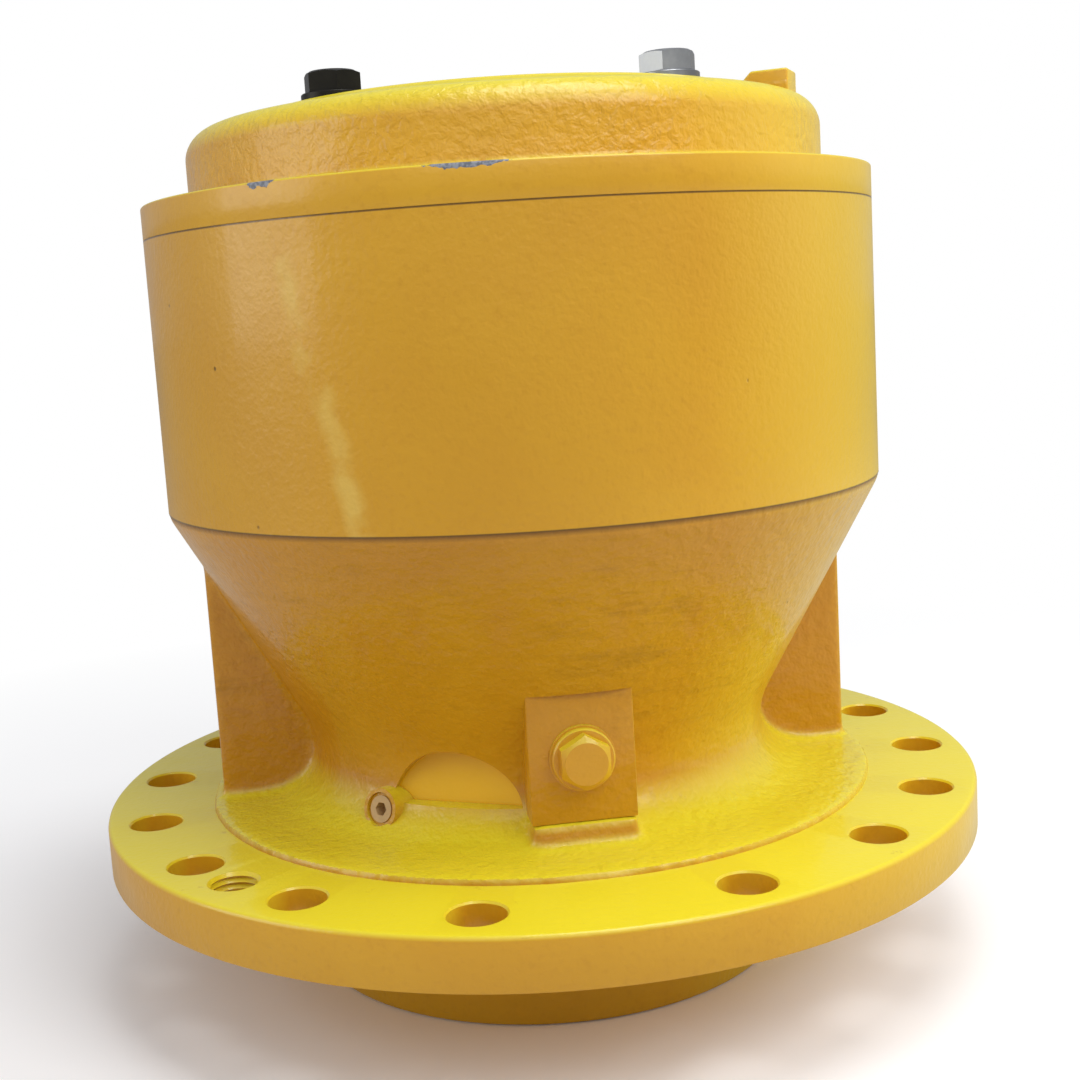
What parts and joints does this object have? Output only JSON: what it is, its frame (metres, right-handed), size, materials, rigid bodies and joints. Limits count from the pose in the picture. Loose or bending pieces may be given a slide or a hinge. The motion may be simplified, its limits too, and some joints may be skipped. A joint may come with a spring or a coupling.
{
  "type": "swing reduction gearbox",
  "caption": "Flanged two-stage planetary reduction gearbox for an excavator's swing drive, with splined input, splined output hub and a face for a hydraulic motor.",
  "frame": {"origin": "centre of the mounting flange's underside, on the axis of every shaft", "axes": "+Z along the shafts, from the output towards the motor; -Y towards the drain pad"},
  "size_m": [0.46, 0.46, 0.4515],
  "materials": {
    "yellow_casting": "satin machinery paint on cast iron",
    "yellow_machined": "satin machinery paint on machined steel",
    "plug_steel": "plain steel",
    "black_oxide": "black oxide",
    "zinc_steel": "zinc plated",
    "sealing_rubber": "nitrile rubber",
    "soft_copper": "annealed copper",
    "bronze": "bearing bronze",
    "bearing_steel": "ground",
    "cage_steel": "pressed steel",
    "carrier_iron": "machined iron",
    "gear_steel": "case hardened and ground",
    "shaft_steel": "turned"
  },
  "bodies": {
    "gearbox": {"lower_housing": "yellow_casting", "ring_gear": "yellow_machined", "top_cover": "yellow_casting", "cover_screws": "yellow_machined", "dowel_pins": "shaft_steel", "housing_o_ring": "sealing_rubber", "cover_o_ring": "sealing_rubber", "oil_seal": "sealing_rubber", "drain_plug": "yellow_machined", "drain_plug_washer": "soft_copper", "level_plug": "plug_steel", "filler_plug": "yellow_machined", "black_motor_bolt": "black_oxide", "zinc_motor_bolt": "zinc_steel", "motor_bolt_washers": "zinc_steel", "lower_bearing_cup": "bearing_steel", "upper_bearing_cup": "bearing_steel"},
    "output": {"output_hub": "shaft_steel", "lock_washer": "shaft_steel", "lock_nut": "shaft_steel", "hub_snap_ring": "shaft_steel", "hub_thrust_button": "shaft_steel", "carrier_2": "carrier_iron", "planet_pins_2": "shaft_steel", "roll_pins_2": "shaft_steel", "thrust_washers_2": "bronze", "lower_bearing_cone": "bearing_steel", "upper_bearing_cone": "bearing_steel"},
    "upper_carrier": {"carrier_1": "carrier_iron", "planet_pins_1": "shaft_steel", "roll_pins_1": "shaft_steel", "thrust_washers_1": "bronze", "sun_2": "gear_steel", "sun_2_snap_ring": "shaft_steel", "sun_2_thrust_button": "shaft_steel"},
    "input_sun": {"sun_1": "gear_steel"},
    "lower_rollers": {"lower_bearing_rollers": "bearing_steel", "lower_bearing_cage": "cage_steel"},
    "upper_rollers": {"upper_bearing_rollers": "bearing_steel", "upper_bearing_cage": "cage_steel"},
    "planet_2a": {"planet_gear_2a": "gear_steel", "planet_bearing_2a": "bearing_steel"},
    "planet_2b": {"planet_gear_2b": "gear_steel", "planet_bearing_2b": "bearing_steel"},
    "planet_2c": {"planet_gear_2c": "gear_steel", "planet_bearing_2c": "bearing_steel"},
    "planet_1a": {"planet_gear_1a": "gear_steel", "planet_bearing_1a": "bearing_steel"},
    "planet_1b": {"planet_gear_1b": "gear_steel", "planet_bearing_1b": "bearing_steel"},
    "planet_1c": {"planet_gear_1c": "gear_steel", "planet_bearing_1c": "bearing_steel"}
  },
  "joints": [
    {"name": "output_spin", "type": "hinge", "parent": "gearbox", "child": "output", "pos_m": [0, 0, 0], "axis": [0, 0, 1], "continuous": true},
    {"name": "upper_carrier_spin", "type": "hinge", "parent": "gearbox", "child": "upper_carrier", "pos_m": [0, 0, 0], "axis": [0, 0, 1], "continuous": true},
    {"name": "input_spin", "type": "hinge", "parent": "gearbox", "child": "input_sun", "pos_m": [0, 0, 0], "axis": [0, 0, 1], "continuous": true},
    {"name": "lower_rollers_spin", "type": "hinge", "parent": "gearbox", "child": "lower_rollers", "pos_m": [0, 0, 0], "axis": [0, 0, 1], "continuous": true},
    {"name": "upper_rollers_spin", "type": "hinge", "parent": "gearbox", "child": "upper_rollers", "pos_m": [0, 0, 0], "axis": [0, 0, 1], "continuous": true},
    {"name": "planet_2a_spin", "type": "hinge", "parent": "output", "child": "planet_2a", "pos_m": [0, 0.0975, 0], "axis": [0, 0, 1], "continuous": true},
    {"name": "planet_2b_spin", "type": "hinge", "parent": "output", "child": "planet_2b", "pos_m": [-0.08444, -0.04875, 0], "axis": [0, 0, 1], "continuous": true},
    {"name": "planet_2c_spin", "type": "hinge", "parent": "output", "child": "planet_2c", "pos_m": [0.08444, -0.04875, 0], "axis": [0, 0, 1], "continuous": true},
    {"name": "planet_1a_spin", "type": "hinge", "parent": "upper_carrier", "child": "planet_1a", "pos_m": [0, 0.09, 0], "axis": [0, 0, 1], "continuous": true},
    {"name": "planet_1b_spin", "type": "hinge", "parent": "upper_carrier", "child": "planet_1b", "pos_m": [-0.07794, -0.045, 0], "axis": [0, 0, 1], "continuous": true},
    {"name": "planet_1c_spin", "type": "hinge", "parent": "upper_carrier", "child": "planet_1c", "pos_m": [0.07794, -0.045, 0], "axis": [0, 0, 1], "continuous": true}
  ],
  "couplings": [
    {"joint": "upper_carrier_spin", "follows": "output_spin", "ratio": 3.7143},
    {"joint": "input_spin", "follows": "output_spin", "ratio": 17.829},
    {"joint": "lower_rollers_spin", "follows": "output_spin", "ratio": 0.45095},
    {"joint": "upper_rollers_spin", "follows": "output_spin", "ratio": 0.45095},
    {"joint": "planet_2a_spin", "follows": "output_spin", "ratio": -3.1667},
    {"joint": "planet_2b_spin", "follows": "output_spin", "ratio": -3.1667},
    {"joint": "planet_2c_spin", "follows": "output_spin", "ratio": -3.1667},
    {"joint": "planet_1a_spin", "follows": "output_spin", "ratio": -10.082},
    {"joint": "planet_1b_spin", "follows": "output_spin", "ratio": -10.082},
    {"joint": "planet_1c_spin", "follows": "output_spin", "ratio": -10.082}
  ]
}
